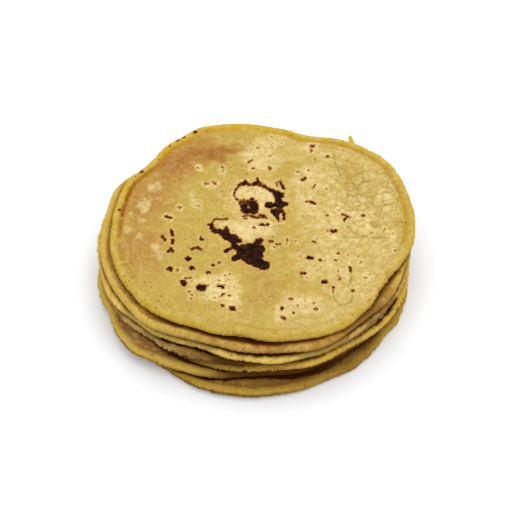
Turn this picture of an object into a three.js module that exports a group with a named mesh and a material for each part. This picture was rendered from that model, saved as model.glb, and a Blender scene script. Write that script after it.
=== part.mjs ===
// A stack of seven corn tortillas, as it lies on a flat surface.
// Millimetres, +Z up. Angles are in degrees, counted from +X towards +Y; the front of the stack is -Y.
// Each tortilla is one closed round with a soft uneven rim, and it follows the waves of the one below.

import * as THREE from 'three';

// Sizes that all the tortillas share
const THICKNESS = 3.5;
const CONTACT_GAP = 0.45;        // between two tortillas over the middle of the stack
const RIM_GAP = 0.3;             // what the gap grows by, all round, out at the rim
const LIFT_START = 0.5;          // share of the radius where a rim begins to lift
const BACK_SAG = [ 72, - 0.25, 18 ];  // where the rims lie closest together: angle, lift, spread
const RIM_ROUND = 1.5;           // how far the rounding of the edge reaches in from the outline
const RIM_RAGGED = 0.35;         // how far the torn edge strays in and out
const RIM_STEPS = 4;             // straight runs round the edge, from the top face to the underside

// Raised border on the face of the top tortilla, measured in from its outline
const BORDER_CREST = 2.2;
const BORDER_FOOT = 5.0;
const BORDER_HEIGHT = 0.5;

// Shares of the radius where rings of points lie on a face
const HIDDEN_RINGS = [0.3, 0.56, 0.76, 0.9];
const SHOWN_RINGS = [0.15, 0.3, 0.45, 0.6, 0.74, 0.86];
const HIDDEN_SEGMENTS = 64;
const SHOWN_SEGMENTS = 80;

// One entry for each tortilla, from the bottom up.
// bumps are [angle, how far the outline swells out, spread in degrees], below zero for a dent.
// lifts are [angle, how far the rim rises off what is below, spread in degrees].
const TORTILLAS = [
	{
		centre: [ 1.0, - 3.9 ], radius: 71.8, colour: 0xb98f3a,
		bumps: [
			[ 233, - 0.9, 6 ], [ 250, 1.1, 8 ], [ 270, 0.8, 12 ], [ 298, - 1.0, 7 ],
			[ 318, - 1.2, 10 ], [ 331, - 0.9, 8 ], [ 352, 0.9, 10 ],
		],
		lifts: [ [ 262, 0.8, 26 ] ],
	},
	{
		centre: [ - 5.6, 0.8 ], radius: 72.1, colour: 0xb08c42,
		bumps: [ [ 179, - 1.2, 5 ], [ 203, - 1.6, 7 ], [ 223, 1.9, 16 ], [ 274, - 2.6, 11 ], [ 322, 1.5, 12 ] ],
		lifts: [ [ 225, 0.3, 20 ], [ 300, 0.4, 25 ] ],
	},
	{
		centre: [ 0.3, 5.4 ], radius: 75.0, colour: 0xbf9d45,
		bumps: [
			[ 80, - 2.0, 30 ], [ 214, - 3.4, 22 ], [ 258, 0.6, 8 ], [ 276, - 0.6, 7 ],
			[ 293, 0.6, 7 ], [ 303, - 0.8, 8 ], [ 327, 0.7, 9 ],
		],
		lifts: [ [ 300, 0.5, 25 ], [ 60, 0.3, 30 ] ],
	},
	{
		centre: [ - 2.6, 7.0 ], radius: 76.6, colour: 0x9c8a4c,
		bumps: [ [ 40, - 3.0, 25 ], [ 100, - 4.0, 30 ], [ 183, - 4.0, 20 ], [ 231, - 0.8, 5 ], [ 267, 0.5, 8 ] ],
		lifts: [ [ 230, 0.4, 25 ], [ 130, 0.4, 30 ] ],
	},
	{
		centre: [ - 0.4, 5.5 ], radius: 76.6, colour: 0xcdaf55,
		bumps: [
			[ 60, - 3.0, 20 ], [ 110, - 2.0, 20 ], [ 210, 1.2, 10 ], [ 224, - 1.0, 6 ], [ 249, - 3.4, 10 ],
			[ 277, 2.0, 8 ], [ 293, 1.5, 9 ], [ 320, - 1.6, 12 ], [ 353, - 2.2, 14 ],
		],
		lifts: [ [ 245, 0.5, 22 ], [ 20, 0.3, 30 ] ],
	},
	{
		centre: [ - 0.1, 4.9 ], radius: 75.3, colour: 0xc4a052,
		bumps: [
			[ 40, 1.5, 18 ], [ 72, - 3.0, 16 ], [ 132, - 2.5, 10 ], [ 153, 1.9, 7 ], [ 228, 1.6, 8 ],
			[ 251, - 2.9, 11 ], [ 292, 2.8, 10 ], [ 313, - 1.2, 8 ], [ 341, - 1.6, 8 ],
		],
		lifts: [ [ 268, 0.4, 20 ], [ 325, 0.4, 15 ] ],
	},
	{
		centre: [ 2.6, 7.2 ], radius: 73.8, colour: 0xd2b466,
		bumps: [
			[ 38, 4.5, 21 ], [ 71, - 2.6, 15 ], [ 108, 3.8, 17 ], [ 142, - 3.2, 9 ],
			[ 226, 1.4, 12 ], [ 262, - 1.4, 10 ], [ 291, 3.2, 12 ], [ 328, - 4.4, 18 ], [ 0, 0.5, 12 ],
		],
		lifts: [ [ 255, 0.5, 18 ], [ 328, 0.5, 16 ], [ 108, 0.4, 25 ] ],
	},
];
const TOP_LEVEL = TORTILLAS.length - 1;

// Height added at an angle by a list of [angle, amount, spread] swells
function sumOfSwells( swells, angle ) {

	return swells.reduce( ( sum, [ at, amount, spread ] ) => {

		const apart = THREE.MathUtils.euclideanModulo( angle - at + 180, 360 ) - 180;
		return sum + amount * Math.exp( - ( ( apart / spread ) ** 2 ) );

	}, 0 );

}

// Room left under one tortilla at a point, counted from the top of what lies below it
function roomUnder( level, x, y ) {

	const { centre, radius, lifts } = TORTILLAS[ level ];
	const dx = x - centre[ 0 ];
	const dy = y - centre[ 1 ];
	const rise = THREE.MathUtils.smoothstep( Math.hypot( dx, dy ) / radius, LIFT_START, 1 );
	const angle = THREE.MathUtils.radToDeg( Math.atan2( dy, dx ) );
	if ( level === 0 ) return rise * sumOfSwells( lifts, angle );
	return CONTACT_GAP + rise * ( RIM_GAP + sumOfSwells( [ BACK_SAG, ...lifts ], angle ) );

}

// Height of a tortilla's underside, carried up through all that lie below it
function undersideHeight( level, x, y ) {

	let height = level * THICKNESS;
	for ( let below = 0; below <= level; below ++ ) height += roomUnder( below, x, y );
	return height;

}

// Height of the raised border above the face, at a distance in from the outline
function borderHeight( inset ) {

	if ( inset <= BORDER_CREST ) return BORDER_HEIGHT;
	return BORDER_HEIGHT * ( 1 - THREE.MathUtils.smoothstep( inset, BORDER_CREST, BORDER_FOOT ) );

}

// Section from the middle of the face, over the rim, to the middle of the underside.
// Each row is { share, inset, side }: a share of the outline's radius, less an inset,
// and a height through the thickness that runs from 1 on the face to 0 on the underside.
function sectionRows( level ) {

	const shown = level === TOP_LEVEL;
	const onFace = ( share, side ) => ( { share, inset: 0, side } );
	const rows = ( shown ? SHOWN_RINGS : HIDDEN_RINGS ).map( ( share ) => onFace( share, 1 ) );
	if ( shown ) {

		rows.push( { share: 1, inset: BORDER_FOOT, side: 1 } );
		rows.push( { share: 1, inset: BORDER_CREST, side: 1 } );

	}

	for ( let step = 0; step <= RIM_STEPS; step ++ ) {

		const turn = Math.PI * step / RIM_STEPS;
		rows.push( { share: 1, inset: RIM_ROUND * ( 1 - Math.sin( turn ) ), side: 0.5 + 0.5 * Math.cos( turn ) } );

	}

	return rows.concat( HIDDEN_RINGS.toReversed().map( ( share ) => onFace( share, 0 ) ) );

}

// Closed mesh of one tortilla: rings of points along the section, with a point at the middle of each face
function tortillaGeometry( level ) {

	const { centre, radius, bumps } = TORTILLAS[ level ];
	const segments = level === TOP_LEVEL ? SHOWN_SEGMENTS : HIDDEN_SEGMENTS;
	const rows = sectionRows( level );
	const positions = [];
	const triangles = [];

	const addPoint = ( x, y, side, inset ) => {

		const border = level === TOP_LEVEL && inset > 0 ? side * borderHeight( inset ) : 0;
		positions.push( x, y, undersideHeight( level, x, y ) + side * THICKNESS + border );

	};

	THREE.MathUtils.seededRandom( level + 1 );
	const outline = [];
	for ( let segment = 0; segment < segments; segment ++ ) {

		const angle = 360 * segment / segments;
		const stray = RIM_RAGGED * ( 2 * THREE.MathUtils.seededRandom() - 1 );
		const reach = radius + sumOfSwells( bumps, angle ) + stray;
		outline.push( { angle: THREE.MathUtils.degToRad( angle ), reach } );

	}

	for ( const { share, inset, side } of rows ) {

		for ( const { angle, reach } of outline ) {

			const distance = share * reach - inset;
			const x = centre[ 0 ] + distance * Math.cos( angle );
			const y = centre[ 1 ] + distance * Math.sin( angle );
			addPoint( x, y, side, inset );

		}

	}

	const faceMiddle = rows.length * segments;
	const undersideMiddle = faceMiddle + 1;
	addPoint( ...centre, 1, 0 );
	addPoint( ...centre, 0, 0 );

	const lastRow = ( rows.length - 1 ) * segments;
	for ( let segment = 0; segment < segments; segment ++ ) {

		const next = ( segment + 1 ) % segments;
		triangles.push( faceMiddle, segment, next );
		triangles.push( undersideMiddle, lastRow + next, lastRow + segment );
		for ( let inner = 0; inner < lastRow; inner += segments ) {

			const outer = inner + segments;
			triangles.push( inner + segment, outer + segment, outer + next );
			triangles.push( inner + segment, outer + next, inner + next );

		}

	}

	const geometry = new THREE.BufferGeometry();
	geometry.setAttribute( 'position', new THREE.Float32BufferAttribute( positions, 3 ) );
	geometry.setIndex( triangles );
	geometry.computeVertexNormals();
	return geometry;

}

const stack = new THREE.Group();
TORTILLAS.forEach( ( { colour }, level ) => {

	const material = new THREE.MeshStandardMaterial( { color: colour, roughness: 0.75, metalness: 0 } );
	const tortilla = new THREE.Mesh( tortillaGeometry( level ), material );
	tortilla.name = `tortilla_${ level + 1 }`;
	stack.add( tortilla );

} );

// The origin is under the middle of the stack, on the surface that it lies on
const box = new THREE.Box3().setFromObject( stack );
const middle = box.getCenter( new THREE.Vector3() );
stack.position.set( - middle.x, - middle.y, - box.min.z );
stack.updateMatrixWorld( true );

export default stack;
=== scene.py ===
import math
import random

import bmesh
import bpy
import numpy as np
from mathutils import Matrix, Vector, noise


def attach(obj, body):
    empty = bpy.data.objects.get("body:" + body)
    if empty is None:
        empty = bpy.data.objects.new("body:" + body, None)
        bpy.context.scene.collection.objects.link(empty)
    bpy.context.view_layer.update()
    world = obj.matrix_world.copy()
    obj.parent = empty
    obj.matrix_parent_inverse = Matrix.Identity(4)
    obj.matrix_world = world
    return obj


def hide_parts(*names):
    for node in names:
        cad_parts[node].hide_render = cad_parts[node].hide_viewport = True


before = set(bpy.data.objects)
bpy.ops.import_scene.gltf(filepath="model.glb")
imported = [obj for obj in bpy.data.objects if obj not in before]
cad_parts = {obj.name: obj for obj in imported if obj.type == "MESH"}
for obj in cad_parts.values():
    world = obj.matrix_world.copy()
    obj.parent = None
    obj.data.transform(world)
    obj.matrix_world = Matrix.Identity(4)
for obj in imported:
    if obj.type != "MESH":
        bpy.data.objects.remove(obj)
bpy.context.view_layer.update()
mm = 0.001
print("solids loaded:", ", ".join(sorted(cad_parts)))


# The photo's camera. The marks on the top tortilla were read off that photo, so they use it too.
photo = {
    "size": 512,  # pixels along each side
    "elevation": 45.0,  # degrees above the table
    "distance": 0.8,  # metres from the lens to the point it looks at
    "focal": 1648.0,  # pixels
    "aim": (0.0001, -0.0029, 0.0152),
    "sensor": 36.0,  # millimetres
    "clip": (0.05, 20.0),
}
tilt = math.radians(photo["elevation"])
lensRight = np.array((1.0, 0.0, 0.0))
lensUp = np.array((0.0, math.sin(tilt), math.cos(tilt)))
lensAhead = np.array((0.0, math.cos(tilt), -math.sin(tilt)))
lensPlace = np.array(photo["aim"]) - photo["distance"] * lensAhead
pixelMm = photo["distance"] / photo["focal"] / mm  # what one pixel spans at the aim


def photoPixels(points):
    # where points of the stack, in metres, land in the photo
    offset = points - lensPlace
    depth = offset @ lensAhead
    across = photo["size"] / 2 + photo["focal"] * (offset @ lensRight) / depth
    down = photo["size"] / 2 - photo["focal"] * (offset @ lensUp) / depth
    return np.stack((across, down), axis=1)


def placeCamera():
    lens = bpy.data.cameras.new("photo_camera")
    lens.sensor_width = photo["sensor"]
    lens.lens = photo["focal"] * photo["sensor"] / photo["size"]
    lens.clip_start, lens.clip_end = photo["clip"]
    camera = bpy.data.objects.new("photo_camera", lens)
    bpy.context.scene.collection.objects.link(camera)
    camera.location = Vector(lensPlace)
    camera.rotation_mode = "QUATERNION"
    camera.rotation_quaternion = Vector(lensAhead).to_track_quat("-Z", "Y")
    bpy.context.scene.camera = camera


placeCamera()
print("camera placed")


# Small helpers for numbers and noise

def softStep(value, low, high):
    share = np.clip((value - low) / (high - low), 0.0, 1.0)
    return share * share * (3.0 - 2.0 * share)


def lumps(points, size, seed):
    # soft noise from about -1 to 1, with lumps of this size; points and size in millimetres
    shift = Vector((seed * 17.3, seed * 5.1, seed * 9.7))
    return np.array([noise.noise(Vector(point) / size + shift) for point in points])


def blisterCells(points, size, seed):
    # 0 on the line between two cells, growing to about 1 in the middle of a cell
    shift = Vector((seed * 3.7, seed * 11.9, 0.0))
    gaps = []
    for point in points:
        near = noise.voronoi(Vector((point[0], point[1], 0.0)) / size + shift)[0]
        gaps.append(near[1] - near[0])
    return np.array(gaps)


# Shape of the rims and lie of the sheets, read off the solids

reading = {
    "merge": 1e-6,  # metres
    "tipSlope": 0.35,  # a point whose normal is this level is on the outermost ring of the rim
    "underSlope": -0.95,  # and one that looks down this much is on the underside
    "outlineSteps": 2048,
    "outlineWaves": 30,  # finer waves than this come from the rim's own raggedness
    "sheetUnit": 50.0,  # millimetres
    "sheetEase": 1e-4,
    "sheetBatch": 20000,  # places worked out at a time
}


def readSolid(node):
    # points in millimetres: the outermost ring of the rim, and the underside
    shell = bmesh.new()
    shell.from_mesh(node.data)
    bmesh.ops.remove_doubles(shell, verts=shell.verts, dist=reading["merge"])
    shell.normal_update()
    ring = [point.co / mm for point in shell.verts if abs(point.normal.z) < reading["tipSlope"]]
    under = [point.co / mm for point in shell.verts if point.normal.z < reading["underSlope"]]
    shell.free()
    return np.array(ring), np.array(under)


def smoothOutline(ring):
    # middle of the round, and how far the rim reaches at any angle
    middle = ring[:, :2].mean(axis=0)
    arm = ring[:, :2] - middle
    angle = np.arctan2(arm[:, 1], arm[:, 0])
    order = np.argsort(angle)
    even = np.linspace(-math.pi, math.pi, reading["outlineSteps"], endpoint=False)
    reach = np.interp(even, angle[order], np.hypot(arm[:, 0], arm[:, 1])[order], period=2 * math.pi)
    waves = np.fft.rfft(reach)
    waves[reading["outlineWaves"]:] = 0
    smooth = np.fft.irfft(waves, len(even))
    return middle, lambda at: np.interp(at, even, smooth, period=2 * math.pi)


def smoothSheet(under):
    # a bent sheet through the points of the underside, as a height in millimetres at any place
    plan = under[:, :2] / reading["sheetUnit"]
    count = len(plan)

    def pull(places):
        apart = ((places[:, None, :] - plan[None, :, :]) ** 2).sum(axis=2)
        return apart * np.log(apart + 1e-12)

    level = np.c_[np.ones(count), plan]
    system = np.zeros((count + 3, count + 3))
    system[:count, :count] = pull(plan) + reading["sheetEase"] * np.eye(count)
    system[:count, count:] = level
    system[count:, :count] = level.T
    weight = np.linalg.solve(system, np.r_[under[:, 2], 0, 0, 0])

    def heightAt(places):
        result, batch = [], reading["sheetBatch"]
        for start in range(0, len(places), batch):
            part = places[start:start + batch] / reading["sheetUnit"]
            result.append(pull(part) @ weight[:count] + np.c_[np.ones(len(part)), part] @ weight[count:])
        return np.concatenate(result)

    return heightAt


# Section of the rim, in millimetres: the face rolls over to a thin ragged lip near the underside

rim = {
    "thickness": 3.5,
    "rollRows": 10,
    "lipRows": 4,
    "underInsets": (1.6, 3.0, 5.5, 10.0),
    "underShares": (0.75, 0.55, 0.35, 0.15),
}


def rimRows(cut):
    # rows of (share of the reach, inset, height through the thickness), from the face to the underside
    rollIn, rollPower, lip, lipIn = cut
    rows = []
    for step in range(1, rim["rollRows"] + 1):
        turn = 0.5 * math.pi * step / rim["rollRows"]
        side = lip + (1 - lip) * max(math.cos(turn), 0.0) ** rollPower
        rows.append((1.0, rollIn * (1 - math.sin(turn)), side))
    for step in range(1, rim["lipRows"] + 1):
        turn = 0.5 * math.pi * step / rim["lipRows"]
        rows.append((1.0, lipIn * (1 - math.cos(turn)), lip * (1 - math.sin(turn))))
    rows += [(1.0, inset, 0.0) for inset in rim["underInsets"]]
    rows += [(share, 0.0, 0.0) for share in rim["underShares"]]
    return rows


# Blanks: closed rounds of the right rows, one row to each step of z, that are then pressed into shape

blanks = {
    "topCells": 256,  # cells along each side of the top tortilla's face
    "stackSegments": 1200,  # points round a tortilla that lies under another
    "coarseShares": (0.15, 0.35, 0.55, 0.7),
    "fineFrom": 17.0,  # millimetres in from the outline where the face that may show begins
    "fineRows": 25,
}


def extrudeRow(height):
    bpy.ops.mesh.extrude_region_move(TRANSFORM_OT_translate={"value": (0, 0, height)})


def closeEnd(height):
    extrudeRow(height)
    bpy.ops.mesh.merge(type="CENTER")


def drawDown(rowCount):
    # row after row straight down, and the last one gathered to a point
    for row in range(rowCount):
        extrudeRow(-1)
    closeEnd(-1)


def finishBlank(blank, name):
    bpy.ops.mesh.select_all(action="SELECT")
    bpy.ops.mesh.normals_make_consistent(inside=False)
    bpy.ops.object.mode_set(mode="OBJECT")
    blank.name = name
    return blank


def stackRows(cut):
    rows = [(share, 0.0, 1.0) for share in blanks["coarseShares"]]
    insets = np.linspace(blanks["fineFrom"], cut[0], blanks["fineRows"])
    rows += [(1.0, float(inset), 1.0) for inset in insets]
    return rows + rimRows(cut)


def stackBlank(rowCount):
    # a ring drawn out row by row like a tube, with both ends gathered to a point
    bpy.ops.object.select_all(action="DESELECT")
    bpy.ops.mesh.primitive_circle_add(vertices=blanks["stackSegments"], radius=1.0)
    blank = bpy.context.object
    bpy.ops.object.mode_set(mode="EDIT")
    bpy.ops.mesh.select_all(action="SELECT")
    drawDown(rowCount - 1)
    bpy.ops.mesh.select_all(action="DESELECT")
    shell = bmesh.from_edit_mesh(blank.data)
    for edge in shell.edges:
        if all(abs(point.co.z) < 0.5 for point in edge.verts):  # the first row
            edge.select_set(True)
    bmesh.update_edit_mesh(blank.data)
    closeEnd(1)
    return finishBlank(blank, "stack_blank")


def topBlank(rowCount):
    # a fine square grid for the face, its border drawn down row by row and gathered underneath
    bpy.ops.object.select_all(action="DESELECT")
    cells = blanks["topCells"]
    bpy.ops.mesh.primitive_grid_add(x_subdivisions=cells, y_subdivisions=cells, size=2.0)
    blank = bpy.context.object
    bpy.ops.object.mode_set(mode="EDIT")
    bpy.ops.mesh.select_mode(type="EDGE")
    bpy.ops.mesh.select_all(action="SELECT")
    bpy.ops.mesh.region_to_loop()
    drawDown(rowCount)
    return finishBlank(blank, "top_blank")


def blankPoints(blank):
    points = np.zeros(len(blank.data.vertices) * 3)
    blank.data.vertices.foreach_get("co", points)
    return points.reshape(-1, 3)


def squareToRound(plan):
    # rings of the square become rings of the round
    a, b = plan[:, 0], plan[:, 1]
    wide = np.abs(a) >= np.abs(b)
    long = np.where(wide, a, b)
    short = np.where(wide, b, a)
    lean = math.pi / 4 * short / np.where(long == 0, 1, long)
    angle = np.where(wide, lean, math.pi / 2 - lean)
    angle = np.where(long < 0, angle + math.pi, angle)
    return np.abs(long), angle


def layOut(blank, rows, gridFace, rollIn, reach):
    # angle, distance from the middle, distance in from the outline and height through the thickness
    points = blankPoints(blank)
    if gridFace:  # the border of the grid lies where the face begins to roll over
        ring, angle = squareToRound(points[:, :2])
        flat = ring * (reach(angle) - rollIn)
    else:
        angle, flat = np.arctan2(points[:, 1], points[:, 0]), np.zeros(len(points))
    edge = reach(angle)
    row = np.rint(-points[:, 2]).astype(int) - int(gridFace)
    table = np.array(rows + [(0.0, 0.0, 0.0)])  # the gathered point under the middle
    share, inset, side = table[np.clip(row, 0, len(rows))].T
    distance = np.maximum(np.where(row >= 0, share * edge - inset, flat), 0.0)
    return angle, distance, edge - distance, np.where(row >= 0, side, 1.0)


# Rim and face relief that every tortilla has, in millimetres. What is added to a seed sets one noise apart.

crumb = {
    "ragged": ((5.0, 0.5), (1.9, 0.8), (0.85, 0.95)),  # (size of the bites, how far they stray)
    "raggedIn": (0.2, 1.7),  # where the bites fade out, in from the outline
    "calm": (17.0, 0.6, 1.2, 0.15, 1.4),  # size of torn and whole stretches; how torn: mean, swing, least, most
    "faceLumps": ((30.0, 0.3), (9.0, 0.2), (3.5, 0.16), (1.4, 0.07)),
    "faceFrom": 0.9,  # share of the thickness above which all is face
    "underTo": 0.02,  # and below which all is underside
    "underFade": (0.0, 0.1),  # where painted shade ends, towards the underside
    "wallFade": 0.4,  # share of the thickness over which painted shade darkens the edge below the lip
    "borderSlope": (2.5, 4.6),  # crest and foot of the raised border, in from the outline
    "borderKnots": (2.4, 0.9, 0.8, 0.3),  # size, how they vary its height and place, and their least share
    "knotHighlights": 2.0,  # how soon a knot takes the painted highlight
    "groovePlace": 4.7,  # the groove inside the border
    "grooveWidth": 1.05,
    "grooveDepth": 0.5,  # share of the border's height
    "grooveBroken": 1.2,  # how much the knots break it up
    "softBand": (0.6, 0.4),  # how far a soft border spreads in and out
    "lip": (0.05, 0.6),  # the pale crust at the very edge
    "shadeReach": (-0.8, 0.4),  # the painted shadow of a gap, from outside the rim above to under it
    "creaseShadeReach": (-2.3, 0.2),  # and the painted crease shade beside it
    "gapStray": ((5.0, 0.8), (1.8, 0.5)),  # (size, how far) the edge of the painted gap shadow wanders
}

# From the bottom up. A swell is (degrees, amount, spread), and adds to the tortilla's value of that name.
# cut: how far in the face rolls over, how full its shoulder is, how high its lip, how far that is undercut
# torn, border, knots, full: how ragged the rim is, how high its border, where that is knotted, and how far
# the outline is pushed out
# band, wide, soft: where the yellow border fades out, in from the outline, how much wider and softer it is
# crust, wall, foot: how pale the lip is, how much painted shade the edge below it takes, how much painted
# shadow it takes near the table
# shade, deep, lit: how much painted shade it takes between its neighbours, how far the painted shadow of the
# gap above reaches out, and how much lighter that shadow is
# crease shade: how much painted shade the face takes beside the tortilla above, or the groove of the top one
tortillas = {
    1: {"seed": 11, "cut": (1.3, 0.5, 0.72, 0.4), "torn": 0.6, "border": 0.3, "crust": 0.25,
        "wall": 0.1, "creaseShade": 0.3, "band": (1.6, 3.2), "yellow": 0.85, "brown": 0.75,
        "swells": {"full": [(258, 1.4, 15), (329, -1.0, 5)], "shade": [(240, 0.35, 8), (303, 0.28, 20)],
                   "deep": [(295, 1.8, 17)], "yellow": [(308, -0.4, 18)], "foot": [(258, 0.85, 30)],
                   "lit": [(310, 0.3, 14)]}},
    2: {"seed": 12, "cut": (2.2, 0.8, 0.3, 0.9), "torn": 0.5, "border": 0.4, "crust": 0.3,
        "wall": 0.4, "creaseShade": 0.25, "band": (1.6, 3.4), "yellow": 0.9, "brown": 0.7,
        "swells": {"full": [(226, 1.5, 10)], "shade": [(290, 1.2, 26), (265, 0.5, 9)],
                   "deep": [(238, 1.0, 12)], "wide": [(218, 0.3, 12)], "lit": [(226, 0.3, 12)],
                   "foot": [(222, 0.85, 11)]}},
    3: {"seed": 13, "cut": (2.0, 0.8, 0.3, 0.9), "torn": 1.0, "border": 0.3, "crust": 0.4,
        "wall": 0.4, "creaseShade": 0.3, "band": (1.2, 2.8), "yellow": 0.8, "brown": 0.6,
        "swells": {"full": [(290, 1.0, 8)], "shade": [(240, 0.95, 20)], "wide": [(303, 1.5, 26)],
                   "deep": [(290, 0.4, 6), (321, 0.8, 3), (327, 1.2, 3), (334, 0.8, 2)],
                   "lit": [(300, 0.4, 16), (264, 0.6, 15)], "creaseShade": [(272, 0.3, 16)]}},
    4: {"seed": 14, "cut": (2.0, 0.8, 0.3, 0.9), "torn": 1.0, "border": 0.3, "crust": 0.6,
        "wall": 0.2, "creaseShade": 0.25, "band": (1.0, 2.4), "yellow": 0.5, "brown": 0.6,
        "swells": {"shade": [(266, 1.1, 21)], "deep": [(266, 1.2, 9)]}},
    5: {"seed": 15, "cut": (2.6, 0.9, 0.25, 0.9), "torn": 0.65, "border": 0.3, "crust": 0.3,
        "wall": 0.4, "creaseShade": 0.45, "band": (2.0, 4.5), "yellow": 0.9, "brown": 0.3,
        "swells": {"brown": [(318, 0.6, 26), (200, 0.5, 22)], "yellow": [(318, -0.5, 26), (200, -0.3, 22)],
                   "deep": [(279, 0.5, 13), (313, 0.5, 4)],
                   "shade": [(328, 0.25, 16)], "lit": [(235, 0.3, 16), (205, 0.3, 14)]}},
    6: {"seed": 16, "cut": (2.3, 0.8, 0.25, 0.8), "torn": 0.5, "border": 0.35, "groove": 0.3, "crust": 0.3,
        "wall": 0.5, "creaseShade": 0.9, "lit": 0.6, "band": (1.5, 3.2), "yellow": 0.85, "brown": 0.6,
        "swells": {"full": [(160, 0.5, 9)], "wide": [(172, 1.5, 20)], "knots": [(185, 1.0, 35)],
                   # the brown at 315 degrees is painted shade beside the tortilla above
                   "brown": [(165, -0.9, 16), (264, 0.4, 24), (315, 0.4, 24)],
                   "yellow": [(264, -0.45, 24), (312, -0.7, 24)],
                   "deep": [(268, 2.0, 9), (233, 0.8, 8), (337, 0.5, 12)],
                   "lit": [(172, 0.25, 32), (205, 0.25, 25), (268, -0.4, 12), (236, -0.3, 8)],
                   "shade": [(315, 0.45, 9)],
                   "creaseShade": [(165, -0.5, 18), (198, -0.65, 24), (225, -0.4, 14), (318, -0.4, 16),
                              (338, -0.2, 16)]}},
    7: {"seed": 3, "cut": (2.2, 0.7, 0.16, 0.6), "torn": 0.6, "border": 0.6, "groove": 0.75, "crust": 0.08,
        "wall": 0.6, "band": (1.4, 3.8), "yellow": 0.75,
        "swells": {"full": [(28, 0.6, 30), (59, 1.1, 6), (79, 0.9, 5), (90, 0.5, 30), (114, 0.9, 5),
                            (136, 1.2, 18), (176, -1.2, 13), (244, -1.3, 8), (264, -0.8, 5), (273, 0.6, 6),
                            (287, -1.4, 8), (302, 0.6, 5), (315, 0.8, 6), (329, -1.0, 12)],
                   "wall": [(205, -0.5, 45)], "soft": [(298, 0.8, 26)], "knots": [(182, 1.0, 30)],
                   "wide": [(262, -1.9, 34), (92, 1.5, 16), (105, 2.2, 45), (165, 0.8, 20), (38, 1.3, 26)],
                   "groove": [(50, 0.4, 32), (150, 0.3, 24), (8, 0.15, 20), (92, -0.5, 12), (232, -0.75, 26),
                              (322, -0.75, 18)],
                   "yellow": [(105, 0.25, 50), (210, -0.2, 18), (250, 0.2, 25), (328, -0.25, 16), (18, -0.1, 32)],
                   "creaseShade": [(165, 0.8, 25)]}},
}


def nodeName(level):
    return "tortilla_%d" % level


def swellAt(angle, level, kind):
    total = np.zeros(len(angle))
    for degrees, amount, spread in tortillas[level]["swells"].get(kind, ()):
        apart = (np.degrees(angle) - degrees + 180) % 360 - 180
        total += amount * np.exp(-((apart / spread) ** 2))
    return total


def shareAt(angle, level, kind):
    # a tortilla's value of this kind with its swells, kept from 0 to 1
    return np.clip(tortillas[level].get(kind, 0.0) + swellAt(angle, level, kind), 0.0, 1.0)


def fullOutline(reach, level):
    return lambda angle: reach(angle) + swellAt(angle, level, "full")


def readStack():
    # the outline and the lie of every tortilla
    shapes = {}
    for level in tortillas:
        ring, under = readSolid(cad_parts[nodeName(level)])
        middle, reach = smoothOutline(ring)
        shapes[level] = {"middle": middle, "reach": fullOutline(reach, level), "sheet": smoothSheet(under)}
    return shapes


def coveredShare(shapes, level, plan, angle):
    # painted shadow: 1 where a tortilla above hides this one from the light, 0 well outside its rim; and the
    # same reaching farther, for the painted crease shade beside it
    gapShadow, near = np.zeros(len(plan)), np.zeros(len(plan))
    deep = swellAt(angle, level, "deep")
    for number, (size, amount) in enumerate(crumb["gapStray"]):
        deep += amount * lumps(np.c_[plan, np.zeros(len(plan))], size, tortillas[level]["seed"] + 60 + number)
    for above in range(level + 1, len(tortillas) + 1):
        arm = plan - shapes[above]["middle"]
        inside = shapes[above]["reach"](np.arctan2(arm[:, 1], arm[:, 0])) - np.hypot(arm[:, 0], arm[:, 1])
        inside += deep - rim["thickness"] * (above - level - 1)
        gapShadow = np.maximum(gapShadow, softStep(inside, *crumb["shadeReach"]))
        near = np.maximum(near, softStep(inside, *crumb["creaseShadeReach"]))
    return gapShadow, near


def raggedRim(points, inset, seed):
    # how far the torn edge strays out, strongest at the lip
    stray = np.zeros(len(points))
    near = inset < crumb["raggedIn"][1]
    for number, (size, amount) in enumerate(crumb["ragged"]):
        stray[near] += amount * lumps(points[near], size, seed + number)
    size, mean, swing, least, most = crumb["calm"]
    stray[near] *= np.clip(mean + swing * lumps(points[near], size, seed + 7), least, most)
    return stray * (1 - softStep(inset, *crumb["raggedIn"]))


def borderRoll(points, angle, inset, level):
    # lift of the raised border and of the groove inside it; also how much groove there is, and how much painted
    # highlight the knots take
    make = tortillas[level]
    size, vary, shift, least = crumb["borderKnots"]
    knots = np.zeros(len(points))
    near = inset < crumb["borderSlope"][1] + 3 * shift
    knots[near] = lumps(points[near], size, make["seed"] + 40)
    knots *= least + (1 - least) * shareAt(angle, level, "knots")
    place = inset - shift * knots
    roll = 1 - softStep(place, *crumb["borderSlope"])
    groove = np.exp(-((place - crumb["groovePlace"]) / crumb["grooveWidth"]) ** 2)
    own = make.get("groove", 0.0)
    groove *= np.clip(own + swellAt(angle, level, "groove") - crumb["grooveBroken"] * own * knots, 0.0, 1.0)
    lift = make["border"] * (roll * (1 + vary * knots) - crumb["grooveDepth"] * groove)
    return lift, groove, roll * np.clip(crumb["knotHighlights"] * knots, 0.0, 1.0)


def faceRelief(points, seed):
    return sum(amount * lumps(points, size, seed + number)
               for number, (size, amount) in enumerate(crumb["faceLumps"]))


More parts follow.
